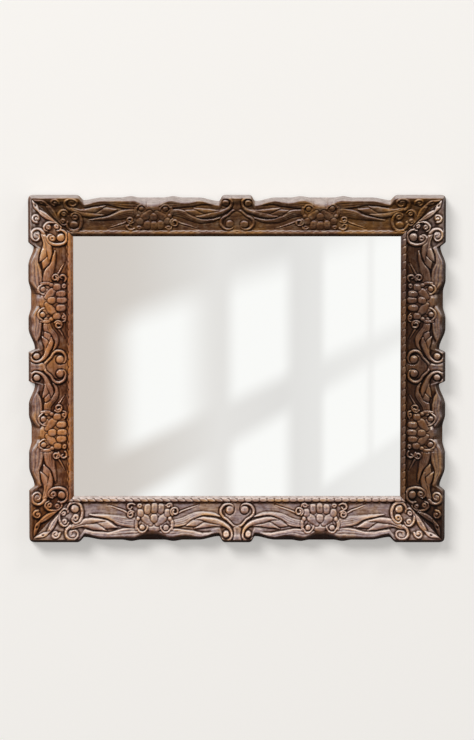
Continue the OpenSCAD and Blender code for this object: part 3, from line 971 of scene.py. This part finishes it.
# Dust and painted light from above lie pale on what faces up, palest on what faces straight up,
# warmer where it is rubbed.
lit_dust_share = ramp(tree, facing, [(0.0, 0.0), (0.25, 0.06), (0.7, 0.6), (1.0, 0.95)])
lit_dust_colour = ramp(tree, grain["Blotches"], [(0.36, RED_LIT_DUST), (0.5, GREY_LIT_DUST), (0.64, WARM_LIT_DUST)])
warm_tops = worked(tree, "MULTIPLY", soft_step(tree, wear_and_painted_light, 0.52, 0.8), HONEY_SHARE)
honey = worked(tree, "ADD", worked(tree, "MULTIPLY", golden, HONEY_SHARE), warm_tops)
colour = mixed(tree, lit_dust_share, colour, mixed(tree, honey, lit_dust_colour, HONEY_WAX))
colour = mixed(tree, soft_step(tree, facing, 0.62, 0.95), colour, PALEST_LIT_DUST)
# Painted shade darkens what faces down, and dark wax with painted shade darkens the cuts.
down = worked(tree, "MULTIPLY", facing, -1.0)
underside_shade = ramp(tree, down, [(0.02, LEFT_PLAIN), (0.35, SLANT_SHADE_SHARE), (0.85, UNDERSIDE_SHADE_SHARE)])
colour = mixed(tree, 1.0, colour, underside_shade, "MULTIPLY")
wax_shade_highlight_stops = [(0.0, DEEP_WAX_AND_SHADE), (0.28, WAXED_CUT_AND_SHADE), (0.5, LEFT_PLAIN), (0.8, RUBBED_TOP_AND_HIGHLIGHT)]
colour = mixed(tree, 1.0, colour, ramp(tree, wear_and_painted_light, wax_shade_highlight_stops), "MULTIPLY")
feed(tree, shader.inputs["Base Color"], colour)
upper = soft_step(tree, down, 0.8, 0.1)
dull = ramp(tree, wear_and_painted_light, [(0.1, 0.8), (0.5, 0.42), (0.8, 0.27)])
feed(tree, shader.inputs["Roughness"], mixed(tree, upper, UNLIT_DULL, dull))
waxed = ramp(tree, wear_and_painted_light, [(0.4, 0.0), (0.62, 0.25), (0.88, 0.7)])
feed(tree, shader.inputs["Coat Weight"], worked(tree, "MULTIPLY", waxed, upper))
shader.inputs["Coat Roughness"].default_value = 0.14
shader.inputs["Specular IOR Level"].default_value = 0.12
ridges = node(tree, "Bump", Strength=0.6, Distance=0.0016, Height=grain["Pores"])
feed(tree, shader.inputs["Normal"], ridges.outputs[0])
for rail in rails:
    rail.data.materials.append(rail_wood)

# Four thin splines of a paler hardwood, glued into slots sawn across the mitres. They hold
# the corners together, and lie hidden inside the wood.
SPLINE_WOOD = (0.5, 0.32, 0.17)
SPLINE_GRAIN = (0.36, 0.2, 0.1)
EVEN_FLECKS = (180, 180, 180)
GRIMY = (0.78, 0.77, 0.75)
SHEEN_SPREAD = 0.3

worn_group, given, shown = group(
    "flecks and wear",
    dict(Place="Vector", Stretch="Vector", Colour="Color", Dark="Color", Roughness="Float"),
    dict(Colour="Color", Roughness="Float", Height="Float"),
)
place = given["Place"]
stretched = joined(worn_group, "VectorMath", place, given["Stretch"], operation="MULTIPLY")
flecks = noise(worn_group, stretched, scale=1.0, detail=5.0, roughness=0.6)
clouds = noise(worn_group, place, scale=14.0, detail=3.0)
fleck = soft_step(worn_group, flecks, 0.32, 0.62)
flecked = mixed(worn_group, fleck, given["Dark"], given["Colour"])
aged = ramp(worn_group, clouds, [(0.35, GRIMY), (0.6, LEFT_PLAIN)])
feed(worn_group, shown["Colour"], mixed(worn_group, 1.0, flecked, aged, "MULTIPLY"))
rougher = worked(worn_group, "MULTIPLY", clouds, SHEEN_SPREAD)
rougher = worked(worn_group, "SUBTRACT", rougher, SHEEN_SPREAD / 2)
feed(worn_group, shown["Roughness"], worked(worn_group, "ADD", rougher, given["Roughness"]))
feed(worn_group, shown["Height"], flecks)


def finish(name, colour, dark, roughness, metallic=0.0, stretch=EVEN_FLECKS, lumps=0.0002):
    """A plain material with fine flecks, stretched along one axis for fibrous or brushed stuff."""
    material, tree, shader = new_material(name)
    worn = node(
        tree, "Group", node_tree=worn_group, Place=node(tree, "TexCoord").outputs["Object"],
        Stretch=stretch, Colour=colour, Dark=dark, Roughness=roughness,
    )
    felt = node(tree, "Bump", Strength=0.5, Distance=lumps, Height=worn.outputs["Height"])
    feed(tree, shader.inputs["Base Color"], worn.outputs["Colour"])
    feed(tree, shader.inputs["Roughness"], worn.outputs["Roughness"])
    feed(tree, shader.inputs["Normal"], felt.outputs[0])
    shader.inputs["Metallic"].default_value = metallic
    return material


def dress(first_words, material):
    """Gives this material to every piece whose name starts with those words."""
    for name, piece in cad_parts.items():
        if name.startswith(first_words):
            piece.data.materials.clear()
            piece.data.materials.append(material)


dress("mitre_spline", finish("spline_wood", SPLINE_WOOD, SPLINE_GRAIN, 0.6, stretch=(50, 400, 50)))

# The silvered glass: a mirror in front, greenish at its ground edge, and grey backing paint
# over the silver behind. The face that a point lies on tells which of the three it shows.
SILVER = (0.93, 0.94, 0.935)
GLASS_EDGE = (0.22, 0.36, 0.3)
DARK_PAINT = (0.2, 0.205, 0.21)
PALE_PAINT = (0.27, 0.275, 0.28)
SILVER_ROUGHNESS = 0.015
PAINT_ROUGHNESS = 0.55
EDGE_ROUGHNESS = 0.2

mirror, tree, shader = new_material("mirror")
spot = node(tree, "TexCoord").outputs
facing = node(tree, "SeparateXYZ", Vector=spot["Normal"]).outputs["Y"]
painted = soft_step(tree, facing, 0.4, 0.6)
edge = soft_step(tree, worked(tree, "ABSOLUTE", facing, 0.0), 0.6, 0.4)
flecks = noise(tree, spot["Object"], scale=60.0, detail=4.0)
paint = ramp(tree, flecks, [(0.35, DARK_PAINT), (0.65, PALE_PAINT)])
colour = mixed(tree, edge, mixed(tree, painted, SILVER, paint), GLASS_EDGE)
feed(tree, shader.inputs["Base Color"], colour)
silvered = worked(tree, "SUBTRACT", worked(tree, "SUBTRACT", 1.0, painted), edge)
feed(tree, shader.inputs["Metallic"], silvered)
satin = worked(tree, "MULTIPLY", painted, PAINT_ROUGHNESS)
satin = worked(tree, "ADD", satin, worked(tree, "MULTIPLY", edge, EDGE_ROUGHNESS))
feed(tree, shader.inputs["Roughness"], worked(tree, "ADD", satin, SILVER_ROUGHNESS))
dress("mirror_glass", mirror)

# Two setting blocks of hard black rubber in the rabbet of the bottom rail. They carry the
# weight of the glass, and keep its edge off the wood.
BLOCK_BLACK = (0.04, 0.04, 0.04)
BLOCK_DARK = (0.025, 0.025, 0.025)

dress("setting_blocks", finish("block_rubber", BLOCK_BLACK, BLOCK_DARK, 0.65))

# The backing board: raw brown fibreboard, sawn to size and laid over the back of the glass to
# guard the silvering and keep dust out. It is matt, with short fibres in every direction.
BOARD_BROWN = (0.27, 0.165, 0.09)
BOARD_DARK = (0.19, 0.11, 0.058)

dress("backing_board", finish("board", BOARD_BROWN, BOARD_DARK, 0.7, stretch=(500, 500, 260)))

# Eight turn buttons, stamped from plated steel strip, each turning on its own steel screw in
# the back of the rails. Turned inwards they hold the board and the glass in the rabbet.
PLATED = (0.62, 0.58, 0.5)
PLATED_WORN = (0.5, 0.46, 0.38)
STEEL = (0.56, 0.55, 0.53)
STEEL_WORN = (0.4, 0.39, 0.37)
SCREW_FLECKS = (900, 900, 900)
METAL = dict(metallic=1.0, lumps=0.00005)

plated_steel = finish("plated_steel", PLATED, PLATED_WORN, 0.32, stretch=(90, 900, 1500), **METAL)
screw_steel = finish("screw_steel", STEEL, STEEL_WORN, 0.35, stretch=SCREW_FLECKS, **METAL)
# The screws' names start with the same words, so they are dressed second, and so below.
dress("turn_button", plated_steel)
dress("turn_button_screws", screw_steel)

# Two hangers of plated steel, a little yellow with age: a folded strap held to each side rail
# by two steel screws, and a bent wire ring that swings in the strap's eye.
AGED = (0.66, 0.6, 0.45)
AGED_WORN = (0.52, 0.46, 0.33)

hanger_steel = finish("hanger_steel", AGED, AGED_WORN, 0.3, stretch=(1500, 900, 90), **METAL)
screw_steel = finish("hanger_screw_steel", STEEL, STEEL_WORN, 0.35, stretch=SCREW_FLECKS, **METAL)
dress("hanger", hanger_steel)
dress("hanger_screws", screw_steel)

# Four bumpers of soft dark rubber, stuck on the back near the corners. They keep the frame
# off the wall, so that air gets behind it and it doesn't mark the paint.
BUMPER_GREY = (0.09, 0.085, 0.08)
BUMPER_DARK = (0.06, 0.055, 0.05)

bumper_rubber = finish("bumper_rubber", BUMPER_GREY, BUMPER_DARK, 0.75, stretch=(900, 900, 900))
dress("wall_bumpers", bumper_rubber)

# The wall it hangs on: plain pale paint, quite matt. It glows a little, to the view alone, so
# that it is as pale as in the photo. From behind it lets the view and the light through.
WALL_PAINT = (0.66, 0.645, 0.622)
WALL_GLOW = (1, 0.975, 0.94)
GLOW_STRENGTH = 0.357
WALL_HALF_SIZE = 3
UPRIGHT = (math.radians(90), 0, 0)

wall = in_scene("wall", flat_grid("wall", 2, 2, WALL_HALF_SIZE))
wall.rotation_euler = UPRIGHT
wall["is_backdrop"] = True
wall_paint, tree, surface = empty_material("wall_paint")
shader = node(tree, "BsdfPrincipled", Roughness=0.95)
feed(tree, shader.inputs["Base Color"], WALL_PAINT)
shader.inputs["Specular IOR Level"].default_value = 0.0
paint = shader.outputs[0]
glow = node(tree, "Emission", Color=WALL_GLOW, Strength=GLOW_STRENGTH).outputs[0]
sight = node(tree, "LightPath").outputs
glowing = joined(tree, "AddShader", paint, glow)
seen = joined(tree, "MixShader", sight["Is Camera Ray"], paint, glowing)
from_behind = node(tree, "NewGeometry").outputs["Backfacing"]
came_through = worked(tree, "MAXIMUM", from_behind, sight["Transparent Depth"])
came_through = worked(tree, "MINIMUM", came_through, 1.0)
clear = node(tree, "BsdfTransparent").outputs[0]
feed(tree, surface, joined(tree, "MixShader", came_through, seen, clear))
wall.data.materials.append(wall_paint)

# The room that the glass mirrors: a pale card far in front, with soft bars of window light
# across it. A point of the glass mirrors a point of the card about twice as far from the middle,
# so the places below are metres on the glass.
CARD_HALF_SIZE = 4
CARD_AWAY = 6.2
MIRRORED = 2.03
RAISED = 0.16
WINDOW_LIGHT = (1.02, 1.015, 1.0)
# Panes as strips across the glass, cut by slanting lines: start, end and softness.
PANES = [(-0.262, -0.085, 0.055), (-0.015, 0.117, 0.022), (0.196, 0.3, 0.014), (0.309, 0.5, 0.01)]
# The lower and the upper line of each row: slope, height in the middle and softness.
UPPER_ROW = (0.46, -0.068, 0.03), (0.34, 0.2, 0.05)
LOWER_ROW = (0.68, -0.402, 0.022), (0.58, -0.164, 0.03)
# The pale room from its left end to its right.
ROOM_HALF = 0.37
ROOM_SHADES = [
    (0.0, (0.68, 0.628, 0.585)), (0.08, (0.7, 0.655, 0.615)), (0.22, (0.755, 0.725, 0.695)),
    (0.42, (0.83, 0.81, 0.79)), (0.7, (0.8, 0.785, 0.77)), (1.0, (0.9, 0.89, 0.875)),
]

card = in_scene("window_card", flat_grid("window_card", 1, 1, CARD_HALF_SIZE))
card.location = (0, -CARD_AWAY, 0)
card.rotation_euler = UPRIGHT
card.visible_camera = False
card.visible_diffuse = False
card.visible_shadow = False
card.visible_transmission = False
card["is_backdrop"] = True
window_light, tree, surface = empty_material("window_light")
spot = node(tree, "TexCoord").outputs["Object"]
split = node(tree, "SeparateXYZ", Vector=spot).outputs
across = worked(tree, "DIVIDE", split["X"], MIRRORED)
up = worked(tree, "ADD", worked(tree, "DIVIDE", split["Y"], MIRRORED), RAISED)
panes = None
for low, high, soft in PANES:
    risen = soft_step(tree, across, low - soft, low + soft)
    fallen = soft_step(tree, across, high - soft, high + soft)
    pane = worked(tree, "SUBTRACT", risen, fallen)
    panes = pane if panes is None else worked(tree, "ADD", panes, pane)


def pane_row(lower, upper):
    """1 between two slanting lines across the window, and 0 above and below them."""
    sides = []
    for (slope, height, soft), way in ((lower, 1), (upper, -1)):
        leant = worked(tree, "SUBTRACT", up, worked(tree, "MULTIPLY", across, slope))
        sides.append(soft_step(tree, leant, height - way * soft, height + way * soft))
    return worked(tree, "MULTIPLY", *sides)


rows = worked(tree, "ADD", pane_row(*UPPER_ROW), pane_row(*LOWER_ROW))
panes = worked(tree, "MULTIPLY", panes, rows)
room = ramp(tree, soft_step(tree, across, -ROOM_HALF, ROOM_HALF), ROOM_SHADES)
glow = node(tree, "Emission", Color=mixed(tree, panes, room, WINDOW_LIGHT), Strength=1.0)
feed(tree, surface, glow.outputs[0])
card.data.materials.append(window_light)

# Soft studio light: a key from the upper left in front, weaker lamps from the upper right, the
# right and behind, and the even glow of the room, which mirrors paler than it lights.
ROOM_GLOW = (0.96, 0.94, 0.91)
ROOM_LIGHTS = 0.22
ROOM_SHOWS = 0.74

world = bpy.data.worlds.new("room")
world.use_nodes = True
bpy.context.scene.world = world
tree = world.node_tree
background = tree.nodes["Background"].inputs
feed(tree, background["Color"], ROOM_GLOW)
rays = node(tree, "LightPath").outputs
shown_pale = worked(tree, "MAXIMUM", rays["Is Camera Ray"], rays["Is Glossy Ray"])
shown_pale = worked(tree, "MAXIMUM", shown_pale, rays["Is Transmission Ray"])
strength = worked(tree, "ADD", worked(tree, "MULTIPLY", shown_pale, ROOM_SHOWS), ROOM_LIGHTS)
feed(tree, background["Strength"], strength)


def softbox(name, place, size, power):
    """A flat lamp, turned towards the middle of the mirror."""
    lamp = bpy.data.lights.new(name, "AREA")
    lamp.shape = "RECTANGLE"
    lamp.size = size[0]
    lamp.size_y = size[1]
    lamp.energy = power
    made = in_scene(name, lamp)
    made.location = place
    direction = -np.array(place, float)
    flat = math.hypot(direction[0], direction[1])
    made.rotation_euler = (
        math.radians(90) + math.atan2(direction[2], flat),
        0,
        math.atan2(direction[1], direction[0]) - math.radians(90),
    )


softbox("key", (-7.0, -12.2, 9.3), (7.0, 6.0), 2060)
softbox("high_right", (5.1, -6.3, 9.9), (3.3, 2.7), 220)
softbox("low_right", (8.3, -5.1, 1.0), (3.8, 3.8), 50)
softbox("behind", (-2.0, 5.0, 3.0), (2.5, 2.5), 260)

# The camera stands well back and about three degrees above the middle, as in the photo. Its
# lens makes the frame's widest outline, at OUTLINE_PLANE, as wide as the photo shows it.
CAMERA_FAR = 6.0
CAMERA_RISE = 3.0
AIM_DOWN = 0.0085
OUTLINE_PLANE = 0.008
FRAME_PIXELS = 416.5
PICTURE_PIXELS = 740
SENSOR = 36

camera_data = bpy.data.cameras.new("camera")
camera = in_scene("camera", camera_data)
rise = math.radians(CAMERA_RISE)
camera.location = (0, -CAMERA_FAR * math.cos(rise), CAMERA_FAR * math.sin(rise) - AIM_DOWN)
camera.rotation_euler = (math.radians(90) - rise, 0, 0)
frame_share = FRAME_PIXELS / PICTURE_PIXELS
frame_width = cad_box[1][0] - cad_box[0][0]
camera_data.sensor_width = SENSOR
camera_data.lens = SENSOR * (CAMERA_FAR - OUTLINE_PLANE) * frame_share / frame_width
bpy.context.scene.camera = camera
bpy.context.scene.view_settings.view_transform = "Standard"

low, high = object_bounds()
